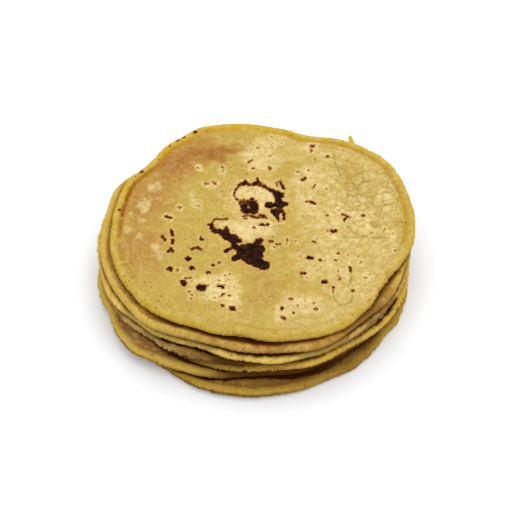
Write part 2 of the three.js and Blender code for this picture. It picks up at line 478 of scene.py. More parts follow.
def pressTortilla(blank, shapes, level, rows, gridFace):
    # points of the tortilla in millimetres, and what the rest of the making needs to know of each
    make, shape = tortillas[level], shapes[level]
    angle, distance, inset, side = layOut(blank, rows, gridFace, make["cut"][0], shape["reach"])
    away = np.stack((np.cos(angle), np.sin(angle)), axis=1)
    flat = np.c_[shape["middle"] + away * distance[:, None], side * rim["thickness"]]
    stray = make["torn"] * raggedRim(flat, inset, make["seed"])
    plan = flat[:, :2] + away * stray[:, None]
    face = softStep(side, make["cut"][2], crumb["faceFrom"])
    lift, groove, knotHighlights = borderRoll(flat, angle, inset, level)
    points = np.c_[plan, shape["sheet"](plan) + flat[:, 2] + face * lift]
    soft, wide = shareAt(angle, level, "soft"), swellAt(angle, level, "wide")
    (bandFrom, bandTo), (softIn, softOut) = make["band"], crumb["softBand"]
    band = 1 - softStep(inset, bandFrom * (1 - softIn * soft) + wide, bandTo * (1 + softOut * soft) + wide)
    upper = side > crumb["underTo"]
    return {
        "points": points, "angle": angle, "inset": inset, "side": side, "face": face, "upper": upper,
        "yellow": shareAt(angle, level, "yellow") * band * upper, "groove": groove * face * (1 - soft),
        "knotHighlights": knotHighlights * face, "lip": (1 - softStep(inset, *crumb["lip"])) * upper,
    }


def wallShade(pressed, level):
    # painted shade on the edge below the lip
    make, side = tortillas[level], pressed["side"]
    below = softStep(make["cut"][2] + crumb["wallFade"] - side, 0.0, crumb["wallFade"])
    return shareAt(pressed["angle"], level, "wall") * below * softStep(side, *crumb["underFade"])


def setPoints(piece, points, fields):
    piece.data.vertices.foreach_set("co", (points * mm).ravel())
    for name, values in fields.items():
        layer = piece.data.attributes.new(name, "FLOAT", "POINT")
        layer.data.foreach_set("value", values.astype(np.float32))
    piece.data.polygons.foreach_set("use_smooth", [True] * len(piece.data.polygons))
    piece.data.update()


# Marks on the top tortilla, in pixels of the photo.
# A stroke runs through points of (across, down, half width); tone 1 is burnt black and 0.3 barely toasted.

strokes = {
    "upperArc": (0.95, [(238, 186.5, 1.0), (241, 184.2, 1.2), (245.5, 183, 1.8), (249, 184.8, 1.2),
                        (253, 184.8, 1.6), (257.5, 183.3, 2.7), (261, 184.8, 2.1), (266, 187.5, 1.5),
                        (271, 191, 1.5)]),
    "upperArcPeaks": (1.0, [(245.3, 180.6, 0.8), (245.6, 183, 1.2)]),
    "upperArcPeak": (1.0, [(257.3, 179, 0.9), (258, 182, 1.8)]),
    "upperArcTail": (0.8, [(238, 187, 0.9), (235, 192, 0.8), (233.8, 196, 0.8), (236.5, 199.5, 1.0),
                           (239, 202.5, 1.2)]),
    "rightKnot": (1.0, [(273.5, 191.5, 1.8), (277.5, 195, 4.2), (281.5, 195.5, 2.8)]),
    "rightKnotLow": (1.0, [(277, 195, 3.6), (278, 199, 2.8), (280, 202, 3.2)]),
    "crossBar": (1.0, [(267.5, 205.5, 2.6), (271, 205.3, 2.8), (274, 204.8, 2.2), (279.5, 204, 4.4),
                       (286.5, 204, 2.0)]),
    "lowKnot": (1.0, [(272.5, 211.5, 2.2), (275.8, 212.2, 3.8), (279.5, 210.5, 2.4)]),
    "lowKnotLeg": (1.0, [(276, 213, 3.0), (277.5, 217, 1.9), (278.3, 219.5, 1.2)]),
    "lowKnotHook": (1.0, [(282, 209.5, 1.4), (284, 213, 1.3), (284, 218.5, 1.3)]),
    "leftKnot": (0.9, [(241, 203.5, 2.6), (246, 203.5, 2.8), (250, 204.5, 2.6)]),
    "leftKnotRight": (1.0, [(254, 205, 4.0), (254.5, 210.5, 3.6)]),
    "leftKnotLeft": (1.0, [(244, 207, 3.5), (244.5, 210, 3.4)]),
    "leftKnotFloor": (1.0, [(244, 211, 2.0), (250, 211, 2.4), (254, 212, 2.0)]),
    "leftKnotCap": (1.0, [(250.8, 200.2, 1.2), (253.2, 200.2, 1.2)]),
    "lowLine": (0.95, [(243.5, 217, 1.0), (246, 215.2, 1.0), (250, 216, 1.1), (256, 217.8, 1.2),
                       (260, 216.5, 1.2), (262.5, 215.5, 2.0), (266, 217.3, 1.3)]),
    "lowLineEnd": (0.7, [(244, 218.2, 1.2), (247, 219, 0.6)]),
    "smallHook": (1.0, [(280.5, 182, 1.3), (281.3, 185, 1.2), (283.2, 188, 1.7)]),
    "smallHookTip": (0.7, [(276.2, 184, 1.2), (278, 186.5, 0.7)]),
    "dash": (1.0, [(260, 224.7, 1.2), (264, 224.7, 1.0), (268, 224.6, 1.2)]),
    "wedge": (1.0, [(208, 224.4, 0.7), (211.6, 226, 2.2), (213.3, 230.6, 2.4), (217, 231.6, 2.2),
                    (222, 233.2, 3.2), (226, 236.2, 4.2), (230, 238.4, 3.8), (235, 239, 3.6), (240.5, 241, 1.8)]),
    "wedgeSpur": (1.0, [(226.5, 229, 1.6), (226.5, 234, 3.2)]),
    "wedgeLine": (0.85, [(211.5, 223.6, 0.9), (214, 220.6, 0.8), (216, 219, 1.1), (219.5, 220.3, 0.8),
                         (225.5, 219, 1.1), (228.5, 220, 0.8)]),
    "neck": (1.0, [(233.5, 241.5, 2.6), (234, 246, 2.4), (238, 248.5, 3.2)]),
    "neckSpur": (1.0, [(225.5, 251.2, 1.7), (228.5, 250.2, 1.5), (232.5, 248, 1.2)]),
    "patchTop": (1.0, [(240, 249.5, 4.2), (247, 248.5, 5.0), (254, 249.5, 5.4), (260.5, 249.5, 4.2)]),
    "patchMiddle": (1.0, [(241, 255, 4.6), (248, 256, 5.4), (256, 256, 5.2), (260.5, 255.5, 2.6)]),
    "patchHorn": (1.0, [(255.5, 245, 2.8), (258.5, 242, 3.2), (262, 240, 1.6)]),
    "patchFoot": (1.0, [(234.4, 259, 3.0), (239, 256.5, 3.2)]),
    "patchWaist": (1.0, [(247, 258.5, 3.0), (257, 260, 3.6), (262.5, 262, 2.6)]),
    "patchTail": (1.0, [(243, 259.3, 2.2), (250, 262, 2.6), (257, 264.2, 3.2), (263, 265, 3.9),
                        (267, 265.2, 3.0)]),
    "patchEnd": (1.0, [(265.5, 262.6, 1.7), (268.6, 264, 1.7)]),
    "patchEndLow": (1.0, [(261.5, 267.2, 1.9), (267.3, 267.8, 1.7)]),
    "tearDrop": (0.95, [(343.3, 214.6, 1.2), (347.3, 216.3, 1.6), (343.8, 220, 0.7)]),
    "forkedSpeck": (0.95, [(160.8, 237.8, 1.0), (163.5, 238.5, 1.3), (165.3, 240.5, 1.0)]),
    "forkedSpeckTip": (0.95, [(163.3, 235.6, 0.8), (163.5, 238.5, 1.1)]),
    "archedSpeck": (0.95, [(191.8, 249.3, 0.9), (196.3, 247.6, 1.6), (201.5, 249.3, 1.0)]),
    "toothSpeck": (0.95, [(167.5, 251.8, 0.9), (171, 249.5, 1.9), (172.8, 251.2, 1.2)]),
}

# Single spots: across, down, length, width, degrees turned clockwise, tone
spots = {
    "upperLeft": [
        (199, 168, 4, 2, 0, 0.5), (223, 168, 4, 2, 60, 0.7), (223, 171, 3.5, 1.6, 90, 0.5),
        (206, 184, 6, 2.3, 0, 0.65), (214.5, 183, 5.5, 2.8, 30, 0.7), (192, 194, 2.2, 1.8, 0, 0.45),
        (198, 206.5, 5.5, 1.4, 12, 0.5), (179.5, 208, 5, 3.6, 10, 0.5), (226, 208, 2.5, 2.2, 0, 0.42),
        (168.5, 217, 8, 2.3, 20, 0.8),
    ],
    "left": [
        (172, 233, 7, 3, 65, 1.0), (172.5, 241.5, 5.5, 3.5, 90, 0.95), (201.3, 239, 5, 3, 35, 0.95),
        (188, 259, 5.6, 5.2, 0, 1.0), (213.5, 265.5, 4, 2.5, 0, 0.9), (219.5, 263, 3, 2, 0, 0.8),
        (170, 268.5, 7, 4.6, -15, 0.95), (178, 270, 3.2, 2.2, 0, 0.55), (192.5, 268.3, 6.5, 3.4, 5, 0.95),
        (208.5, 272.7, 5, 2.4, -12, 0.9),
    ],
    "lowerLeft": [
        (183.5, 282.8, 7, 5.6, 60, 1.0), (187.5, 278, 9, 1.3, 0, 0.65), (201.3, 287.8, 11, 6, 0, 1.0),
        (207, 286.2, 4, 1.6, -25, 0.95), (189, 292, 3.6, 2.4, 20, 0.75), (192, 295, 3, 1.5, 30, 0.5),
        (191, 299, 3.2, 1.5, 0, 0.6), (221, 287, 8, 2.8, 12, 1.0), (222.5, 295, 5.5, 2.6, -25, 0.72),
        (222.8, 305.5, 4, 2, 20, 0.85), (232.5, 309, 7.5, 4.4, 10, 0.9), (225.5, 275.7, 2.4, 1.6, 0, 0.7),
        (229.7, 274.5, 1.8, 1.6, 0, 0.85), (229.7, 296, 2.2, 1.8, 0, 0.8), (219, 280.7, 2, 1.5, 0, 0.8),
        (234, 288, 1.8, 1.5, 0, 0.55), (192.5, 282, 1.8, 1.6, 0, 0.8), (206, 297.5, 1.6, 1.4, 0, 0.7),
        (215, 298, 2.2, 1.6, 0, 0.5),
    ],
    "upper": [
        (250, 161.5, 6, 2.2, -25, 0.78), (252.5, 168.5, 6, 1.6, 0, 0.45), (270, 168.6, 4.5, 2.8, 15, 0.8),
        (258, 148, 3, 1.6, -30, 0.6), (270.5, 156, 3, 2.4, 0, 0.42),
    ],
    "upperRight": [
        (312.5, 146.5, 6, 3, 0, 0.7), (311.5, 151, 2.4, 2, 0, 0.8), (327.7, 156.7, 4.2, 2.2, -15, 0.78),
        (315.3, 159, 1.6, 1.5, 0, 0.85), (303.8, 179.6, 6.5, 2.8, -25, 0.9), (314.2, 187, 4.6, 2, -45, 0.8),
        (326.7, 189, 2.8, 2, 0, 0.55), (312.3, 202.7, 7, 2.8, 15, 1.0), (307.3, 201.8, 4.6, 3.2, 0, 0.45),
        (298, 172.5, 4.5, 2.2, 0, 0.4), (308, 170.5, 3.4, 1.3, -10, 0.5),
    ],
    "right": [
        (327.3, 215.5, 3.4, 1.4, 0, 0.75), (363.3, 215.8, 5, 2.8, -10, 0.72), (333.8, 231, 7, 3.2, -12, 1.0),
        (327.2, 230.6, 2, 1.5, 0, 0.85), (352.5, 204, 3, 1.4, 0, 0.4), (371.5, 233, 3.4, 1.8, 0, 0.42),
        (384.5, 229, 2.2, 2, 0, 0.45), (393, 233, 2.6, 2, 0, 0.45), (395, 250.8, 1.8, 1.4, 0, 0.8),
    ],
    "middle": [
        (271, 241.3, 5.4, 2.2, 0, 0.9), (278.5, 244.2, 5.2, 2, 0, 0.98), (287, 241.5, 6, 1.8, 100, 0.75),
        (275, 247.6, 4.2, 1.3, 0, 0.75), (295.5, 242, 2.5, 1.5, 0, 0.6), (314, 242, 4.4, 2, 5, 0.97),
        (318.7, 243.4, 2.2, 1.2, 0, 0.7), (300.3, 257, 3, 2, 0, 0.72), (310.3, 257.8, 6.8, 2.8, 0, 1.0),
        (320, 260, 3.6, 2, 15, 0.85), (324, 261.6, 5, 1.2, 25, 0.5), (338.4, 253.6, 3.2, 1.6, 0, 0.92),
        (348, 255, 2.2, 1.5, 0, 0.8), (336, 260.5, 3.8, 1.6, 0, 0.92), (361.5, 262.4, 2.6, 1.7, 0, 0.68),
        (338.5, 271, 3.4, 1.2, 0, 0.45), (254.3, 227.7, 2.6, 2, 0, 0.98), (280, 221.7, 6, 1.4, 0, 0.45),
    ],
    "lowerRight": [
        (350.5, 269, 5.8, 2.3, 62, 1.0), (303, 273, 7, 2.3, -5, 0.97), (307, 277.5, 2, 1.5, 0, 0.5),
        (324.6, 281.6, 5.6, 3.6, -12, 1.0), (333.3, 288, 3.2, 2.5, -30, 0.97), (332.6, 292, 3, 1.8, 90, 0.7),
        (340, 278.5, 2.6, 2, 0, 0.92), (352.8, 291, 4, 2.2, 0, 0.92), (365.5, 278, 4.4, 1.5, 5, 0.4),
        (364.5, 285.3, 1.8, 1.6, 0, 0.85), (282, 308.8, 3.6, 3, 0, 1.0), (298, 306.5, 3.2, 2.6, 0, 0.45),
        (293.3, 313.5, 3, 2.4, 60, 0.62), (283.5, 318.3, 5.5, 3, 18, 0.92), (315.5, 309.7, 4.8, 2.4, 0, 0.78),
        (313.8, 303.5, 2.6, 1.6, 0, 0.75), (290.8, 299.3, 4.2, 2, 0, 0.82), (304, 299, 2.2, 1.5, 0, 0.65),
    ],
    "rimSpecks": [
        (195.8, 131.8, 4, 1.6, -20, 0.97), (183.8, 137.3, 2.8, 1.6, -25, 0.9), (177.5, 140.5, 3.4, 1.2, -28, 0.9),
        (170, 146, 2.4, 1, -35, 0.8), (141.8, 171.8, 4.4, 2, -25, 0.97), (133.5, 182.5, 1.6, 1.4, 0, 0.8),
        (119.3, 210, 2.2, 1.9, 0, 0.97), (122.6, 215.2, 1.6, 1.5, 0, 0.9), (104.3, 243.4, 1.8, 1.4, 0, 0.9),
    ],
}

# Pale, dry places where the dough puffed up: across, down, half width, half height, strength
paleDabs = [
    (257, 199, 30, 21, 1.0), (240, 230, 27, 11, 1.0), (262, 229, 16, 10, 0.9), (262, 158, 20, 16, 0.8),
    (266, 145, 16, 8, 0.75), (222, 288, 19, 15, 1.0), (205, 284, 14, 9, 0.85), (232, 302, 10, 10, 0.75),
    (303, 305, 26, 13, 0.75), (282, 312, 10, 12, 0.8), (318, 182, 26, 19, 1.0), (312, 205, 18, 14, 1.0),
    (345, 222, 46, 40, 0.95), (385, 195, 20, 36, 0.8), (365, 285, 30, 28, 0.8), (335, 262, 40, 22, 0.85),
    (385, 245, 20, 30, 0.85), (144, 205, 7, 7, 0.65), (154, 188, 7, 5, 0.65), (156, 248, 7, 6, 0.5),
    (127, 230, 5, 4, 0.42), (142, 221, 5, 4, 0.4), (126, 244, 5, 4, 0.34), (158, 198, 4, 4, 0.4),
    (129, 217, 4, 3, 0.4), (137, 238, 4, 3, 0.4), (159, 254, 6, 4, 0.45), (150, 198, 3, 3, 0.35),
    (126, 262, 5, 3, 0.4), (149, 228, 4, 3, 0.3), (166, 219, 8, 4, 0.4), (199, 168, 5, 4, 0.5),
    (223, 170, 4, 6, 0.4), (210, 184, 10, 5, 0.5), (196, 203, 8, 5, 0.4),
    (313, 148, 9, 8, 0.7), (327, 157, 8, 8, 0.7), (275, 140, 14, 9, 0.5), (240, 318, 60, 8, 0.15),
    (338, 158, 30, 14, 0.5), (374, 174, 26, 24, 0.6), (300, 150, 26, 13, 0.4),
    (338, 310, 28, 16, 0.45), (346, 290, 26, 22, 0.5), (312, 327, 40, 8, 0.3),
]

# Browned, tanned places: across, down, half width, half height, degrees turned clockwise, strength
tanDabs = [
    (213, 153, 34, 8, -6, 1.0), (178, 160, 44, 22, -30, 0.82), (148, 190, 28, 44, 25, 0.66),
    (140, 236, 26, 46, -8, 0.5), (215, 140, 40, 10, -6, 0.15), (262, 290, 26, 30, 0, 0.2),
]

# Fine cracks between the blisters at the right: points of (across, down)
cracks = [
    [(333.6, 153), (338, 169), (341, 176.6), (346.8, 179.5), (352.6, 176.6), (361.4, 172), (372, 168)],
    [(346.8, 179.5), (347.5, 184), (343.8, 188), (346.8, 195.6), (352.6, 197), (357.8, 194), (357, 188),
     (352.6, 184), (347.5, 184)],
    [(357.8, 194), (365.8, 196.4), (373, 197), (377.6, 194), (379, 190), (385, 188), (394, 189)],
    [(365.8, 198.6), (371.7, 204.4), (379, 207.4), (380.5, 211.8), (379.8, 217.6), (376, 225)],
    [(379, 207.4), (391, 204.4), (398, 203.7)],
    [(349.7, 203), (360, 201.5), (365.8, 203), (367.3, 208.8), (362.9, 210.3), (352.6, 208.8), (348.2, 206),
     (349.7, 203)],
    [(346.8, 195.6), (348.2, 206)], [(373, 197), (371.7, 204.4)], [(361.4, 172), (363, 181), (357, 188)],
    [(372, 168), (377, 174), (374, 181), (379, 190)], [(385, 188), (389, 180), (386, 173), (377, 174)],
    [(394, 189), (396, 197), (398, 203.7)], [(363, 181), (374, 181)],
    [(372, 222), (374.3, 221.4), (376.6, 223), (376.2, 226), (373.6, 226.6), (371.9, 224.6), (372, 222)],
    [(343.8, 236.2), (349, 237.4), (356, 236), (361.4, 237.2), (367, 236.4)],
    [(374, 238.2), (381, 237), (386, 238)],
    [(333.6, 293), (333.8, 299), (338.6, 304.4), (345, 305), (350.6, 301.8), (352.6, 296), (351, 290)],
    [(351, 272), (352, 279), (348, 284)],
    [(346, 226), (352, 231), (361.4, 236.7)],
]
netPatch = {  # how the cracks run, and the finer net between them; in pixels, and noise and cells in millimetres
    "strays": ((5.0, 1.6, 65, 67), (1.8, 0.9, 66, 68)),  # moves, as astray takes them
    "line": (0.2, 1.2),  # from the middle of a crack to its edge
    "lineWhole": (0.75, 0.8, 0.3),  # how whole a crack is: mean, swing, least
    "breaks": 3.5,  # from one break in a crack to the next
    "warp": ((9.0, 1.6, 71, 72),),
    "cell": 4.2,
    "net": (0.02, 0.16),  # as line, in shares of a cell
    "netWhole": 0.4,
    "netStrength": 0.7,
    "netOval": ((368, 200), (48, 56), (0.7, 1.2)),  # middle, half size, and shares of that where it fades
    "veins": (0.0, 0.45),  # as net, for the darker veins along the cracks
    "veinReach": (0.5, 3.0),
    "veinOval": ((358, 222), (66, 100), (0.7, 1.1)),
}


farOff = 1e3  # pixels, more than any mark lies away


def astray(places, points, moves):
    # places pushed about by noise; a move is (size in millimetres, how far, seed across, seed down)
    pushed = places.copy()
    for size, amount, *seeds in moves:
        for axis, seed in enumerate(seeds):
            pushed[:, axis] += amount * lumps(points, size, seed)
    return pushed


def strokeDistance(pixels, points):
    # distance in pixels to a stroke's edge, below zero inside it
    best = np.full(len(pixels), farOff)
    for start, end in zip(points[:-1], points[1:]):
        run = np.subtract(end[:2], start[:2])
        along = np.clip((pixels - start[:2]) @ run / (run @ run), 0.0, 1.0)
        gap = np.hypot(*(pixels - start[:2] - along[:, None] * run).T)
        best = np.minimum(best, gap - start[2] - along * (end[2] - start[2]))
    return best


def turnedOffset(pixels, across, down, degrees):
    turn = math.radians(degrees)
    offset = pixels - (across, down)
    along = offset[:, 0] * math.cos(turn) + offset[:, 1] * math.sin(turn)
    beside = offset[:, 1] * math.cos(turn) - offset[:, 0] * math.sin(turn)
    return along, beside


def spotDistance(pixels, across, down, length, width, degrees):
    along, beside = turnedOffset(pixels, across, down, degrees)
    straight = max(length - width, 0.0) / 2
    return np.hypot(np.maximum(np.abs(along) - straight, 0.0), beside) - width / 2


toast = {
    "farthest": 7.0,  # millimetres from a mark past which nothing of it shows
    "shrink": 0.15,  # millimetres that a burn stays inside the mark as read
    "weakest": 0.75,  # millimetres that the weakest tone stays short of black
    "deepest": (0.5, 0.15),  # how fast a mark that isn't black deepens, and how far in millimetres
    "frays": ((2.6, 0.7, 81, 91), (1.1, 1.1, 82, 92)),  # moves by which a mark's edge wanders
    "haloFrom": 0.3,  # millimetres
    "haloTone": 0.85,  # a mark weaker than this has a wide, pale halo
    "haloWeak": (0.85, 1.6),  # strength, and how far it reaches in millimetres
    "haloStrong": (0.4, 1.3),
}


def toneDepth(distance, tone):
    # below zero where it is burnt black; a weak tone stops short of that
    depth = distance * pixelMm + toast["shrink"]
    if tone < 1.0:
        pace, deepest = toast["deepest"]
        depth = np.where(depth < 0, np.maximum(pace * depth, -deepest), depth)
        depth += (1 - tone) * toast["weakest"]
    return depth


def scorchField(pixels):
    # how burnt every point is, and the pale halos round the marks
    depth, halo = np.full(len(pixels), toast["farthest"]), np.zeros(len(pixels))

    def addMark(distance, tone, haloShare):
        strength, reach = toast["haloWeak" if tone < toast["haloTone"] else "haloStrong"]
        np.minimum(depth, toneDepth(distance, tone), out=depth)
        fade = softStep(distance * pixelMm, toast["haloFrom"], reach)
        np.maximum(halo, haloShare * strength * (1 - fade), out=halo)

    for tone, points in strokes.values():
        addMark(strokeDistance(pixels, points), tone, 1.0)
    for group, marks in spots.items():
        for across, down, length, width, degrees, tone in marks:
            bare = group == "rimSpecks"  # without a halo
            addMark(spotDistance(pixels, across, down, length, width, degrees), tone, 0.0 if bare else 1.0)
    return depth, halo


dabEdge = {
    "blur": (0.2, 0.016, 0.6),  # least, what each pixel of half width adds, and most
    "fade": (1.1, 0.65),  # how far the blur reaches in and out
}


def dabField(pixels, dabs):
    field = np.zeros(len(pixels))
    least, growth, most = dabEdge["blur"]
    fadeIn, fadeOut = dabEdge["fade"]
    for across, down, halfWide, halfHigh, degrees, strength in dabs:
        along, beside = turnedOffset(pixels, across, down, degrees)
        stretch = np.hypot(along / halfWide, beside / halfHigh)
        blur = min(most, least + growth * halfWide)
        field = np.maximum(field, strength * (1 - softStep(stretch, 1 - fadeIn * blur, 1 + fadeOut * blur)))
    return field


def ovalShare(pixels, middle, half, edge):
    return 1 - softStep(np.hypot(*((pixels - middle) / half).T), *edge)


def crackField(pixels, points):
    # the cracks as drawn, wandering and broken up, with finer ones between them, and the veins along them
    strayed = astray(pixels, points, netPatch["strays"])
    depth = np.full(len(pixels), farOff)
    for line in cracks:
        depth = np.minimum(depth, strokeDistance(strayed, [(across, down, 0.0) for across, down in line]))
    mean, swing, least = netPatch["lineWhole"]
    whole = np.clip(mean + swing * lumps(points, netPatch["breaks"], 69), least, 1.0)
    drawn = (1 - softStep(depth, *netPatch["line"])) * whole
    cells = blisterCells(astray(points, points, netPatch["warp"]), netPatch["cell"], 5)
    whole = np.clip(netPatch["netWhole"] + lumps(points, netPatch["breaks"], 70), 0.0, 1.0)
    net = (1 - softStep(cells, *netPatch["net"])) * whole
    net = netPatch["netStrength"] * net * ovalShare(pixels, *netPatch["netOval"])
    veins = (1 - softStep(cells, *netPatch["veins"])) * ovalShare(pixels, *netPatch["veinOval"])
    return np.maximum(drawn, net), np.maximum(veins, 1 - softStep(depth, *netPatch["veinReach"]))


# The top tortilla

topTortilla = {
    "level": 7,
    "wander": ((5.0, 6.0, 61, 62),),  # moves of the pale and tanned places
    "puff": 0.3,  # millimetres that a pale place stands up
    "haloPuff": 0.8,  # share of that for the halo of a burn
    "crackDepth": 0.3,
    "charDepth": 0.15,
    "charEdge": (-0.2, 0.4),  # millimetres from a burn's edge over which it sinks
    "charCrumbs": (0.9, 2.0),  # size in millimetres, and how they vary its depth
    "calmRim": (1.0, 6.0, 0.3),  # where the face's lumps begin, in from the outline, and their share outside that
    "smear": 0.12,  # how much darker the brown smear at the far left is
    "veins": 0.55,  # how much less pale it is between the blisters at the right
    "borderClear": 0.75,  # how much less pale it is on the yellow border
    "knotHighlights": 0.3,  # how strong the painted highlight on the knots of the border is
}
flake = {  # torn loose on the far rim
    "across": 351.9,  # pixels of the photo
    "half": (1.9, 2.5),
    "length": 6.2,  # millimetres
    "root": 1.4,
    "lean": 0.1,
}


def pullFlake(points, pixels, inset):
    pull = 1 - softStep(np.abs(pixels[:, 0] - flake["across"]), *flake["half"])
    pull *= (1 - softStep(inset, 0.0, flake["root"])) * (points[:, 1] > 0)
    points[:, 1] += flake["length"] * pull
    points[:, 0] -= flake["lean"] * flake["length"] * pull


def makeTopTortilla(shapes):
    level, top = topTortilla["level"], topTortilla
    make = tortillas[level]
    rows = rimRows(make["cut"])
    piece = topBlank(len(rows))
    pressed = pressTortilla(piece, shapes, level, rows, True)
    points, inset, face = pressed["points"], pressed["inset"], pressed["face"]
    pixels = photoPixels(points * mm)
    scorch, halo = scorchField(astray(pixels, points, toast["frays"]))
    scorch = np.where(face > 0.5, scorch, toast["farthest"])
    wandered = astray(pixels, points, top["wander"])
    pale = face * dabField(wandered, [dab[:4] + (0,) + dab[4:] for dab in paleDabs])  # not turned
    tan = face * dabField(wandered, tanDabs)
    smear = top["smear"] * face * dabField(wandered, tanDabs[:1])
    crack, veins = crackField(pixels, points)
    crack *= face
    pale *= (1 - top["veins"] * veins) * (1 - top["borderClear"] * pressed["yellow"])
    # painted shade in the groove, and on the edge below the lip
    creaseShade = pressed["groove"] * shareAt(pressed["angle"], level, "creaseShade")
    burnt = 1 - softStep(scorch, *top["charEdge"])
    size, rough = top["charCrumbs"]
    lumpsFrom, lumpsTo, least = top["calmRim"]
    relief = faceRelief(points, make["seed"] + 20) * (least + (1 - least) * softStep(inset, lumpsFrom, lumpsTo))
    relief += top["puff"] * np.maximum(pale, top["haloPuff"] * halo)
    relief -= top["crackDepth"] * crack
    relief -= top["charDepth"] * burnt * (1 + rough * lumps(points, size, 63))
    points[:, 2] += face * relief
    pullFlake(points, pixels, inset)
    # pale takes in the painted highlight on the border's knots
    setPoints(piece, points, {
        "yellow": pressed["yellow"], "groove": pressed["groove"], "scorch": scorch, "tan": tan, "crack": crack,
        "pale": np.maximum.reduce((pale, make["crust"] * pressed["lip"], top["knotHighlights"] * pressed["knotHighlights"])),
        "halo": halo * face, "gapShadow": np.zeros(len(points)), "shade": smear,
        "creaseShade": np.maximum(creaseShade, wallShade(pressed, level)),
    })
    return piece


# The six tortillas underneath

stacked = {
    "bubbles": (4.5, 0.45),  # size and height of the bubbles on a face, in millimetres
    "bubbleEdge": (0.5, 0.3),  # shares of a cell over which a bubble rises, and of that where it is cracked
    "bubbleSink": 0.6,  # share of their height that lies below the face
    "bubblesFrom": (3.0, 5.0),  # how far in from the outline they begin
    "lumpsFrom": (0.5, 4.0),  # and the lumps of the face
    "mottle": (9.0, 0.8, 0.6),  # size of the patches in millimetres, how brown and how pale they are
    "rimWide": (0.2, 1.6),  # the outer rim, in from the outline
    "gapLight": 0.55,  # share of the painted gap shadow that the outer rim escapes
    "footTo": (0.35, 0.75),  # share of the thickness where the painted shadow near the table ends
    "shadeMottle": (2.5, 0.93, 0.1),  # size in millimetres, mean, swing of the painted shade's mottling
    "knotHighlights": 0.35,  # how strong the painted highlight on the knots of the border is
    "underTan": 0.5,  # how much of the brown is left on the underside
    "underSpots": 60,
    "underReach": 70,  # millimetres from the middle
    "underSize": (0.2, 2.2),  # millimetres
}


def undersideToast(points, upper, level):
    # spots that the griddle left on the underside, scattered at random
    chance = random.Random(100 + level)
    depth = np.full(len(points), toast["farthest"])
    for spot in range(stacked["underSpots"]):
        turn, out = chance.uniform(0, 2 * math.pi), stacked["underReach"] * math.sqrt(chance.random())
        size = chance.uniform(*stacked["underSize"])
        away = np.hypot(points[:, 0] - out * math.cos(turn), points[:, 1] - out * math.sin(turn))
        depth = np.minimum(depth, np.where(upper, toast["farthest"], away - size))
    return depth


def makeStackedTortilla(blank, shapes, level):
    piece = blank.copy()
    piece.data = blank.data.copy()
    bpy.context.scene.collection.objects.link(piece)
    make = tortillas[level]
    pressed = pressTortilla(piece, shapes, level, stackRows(make["cut"]), False)
    points, angle, inset, side, face, upper = (
        pressed[part] for part in ("points", "angle", "inset", "side", "face", "upper"))

    # bubbles and lumps of the face
    size, height = stacked["bubbles"]
    rise, cracked = stacked["bubbleEdge"]
    shown = inset < blanks["fineFrom"]
    inward = face * softStep(inset, *stacked["bubblesFrom"])
    bubble = np.zeros(len(points))
    bubble[shown] = softStep(blisterCells(points[shown], size, make["seed"]), 0.0, rise)
    relief = faceRelief(points, make["seed"] + 20) * softStep(inset, *stacked["lumpsFrom"])
    relief += height * (bubble - stacked["bubbleSink"]) * inward
    points[:, 2] += face * relief

    # how brown and pale it is, and its painted shade and shadow
    size, brownMottle, paleMottle = stacked["mottle"]
    mottle = lumps(points, size, make["seed"] + 50)
    brown = make["brown"] + swellAt(angle, level, "brown") - brownMottle * mottle
    pale = np.clip(paleMottle * mottle, 0, 1) * face
    # painted shadow of the gap under the tortillas above, and painted shade beside it, between neighbours and
    # near the table
    gapShadow, near = coveredShare(shapes, level, points[:, :2], angle)
    outer = 1 - softStep(inset, *stacked["rimWide"])
    gapShadow *= (1 - stacked["gapLight"] * outer) * (1 - shareAt(angle, level, "lit"))
    foot = shareAt(angle, level, "foot") * (1 - softStep(side, *stacked["footTo"]))
    size, mean, swing = stacked["shadeMottle"]
    underFade = softStep(side, *crumb["underFade"])
    shade = np.maximum(shareAt(angle, level, "shade"), foot) * underFade
    shade *= mean + swing * lumps(points, size, make["seed"] + 51)
    # pale takes in the painted highlight on the border's knots
    setPoints(piece, points, {
        "yellow": pressed["yellow"], "groove": pressed["groove"], "scorch": undersideToast(points, upper, level),
        "pale": np.maximum.reduce((pale, make["crust"] * pressed["lip"], stacked["knotHighlights"] * pressed["knotHighlights"])),
        "tan": np.clip(brown, 0, 1) * np.where(upper, 1.0, stacked["underTan"]),
        "crack": (1 - softStep(bubble, 0.0, cracked)) * shown * inward, "halo": np.zeros(len(points)),
        "gapShadow": gapShadow * underFade, "shade": shade,
        "creaseShade": np.maximum(shareAt(angle, level, "creaseShade") * near * face, wallShade(pressed, level)),
    })
    return piece


# Finish: toasted corn dough. Colours are as seen, from 0 to 255.

def seen(red, green, blue):
    def toLight(value):
        value /= 255
        return value / 12.92 if value <= 0.04045 else ((value + 0.055) / 1.055) ** 2.4
    return (toLight(red), toLight(green), toLight(blue), 1.0)


lightLevel = 1.4  # what the studio light lifts a flat face to, so that colours can be given as seen


def dough(red, green, blue):
    return tuple(part / lightLevel for part in seen(red, green, blue)[:3]) + (1.0,)


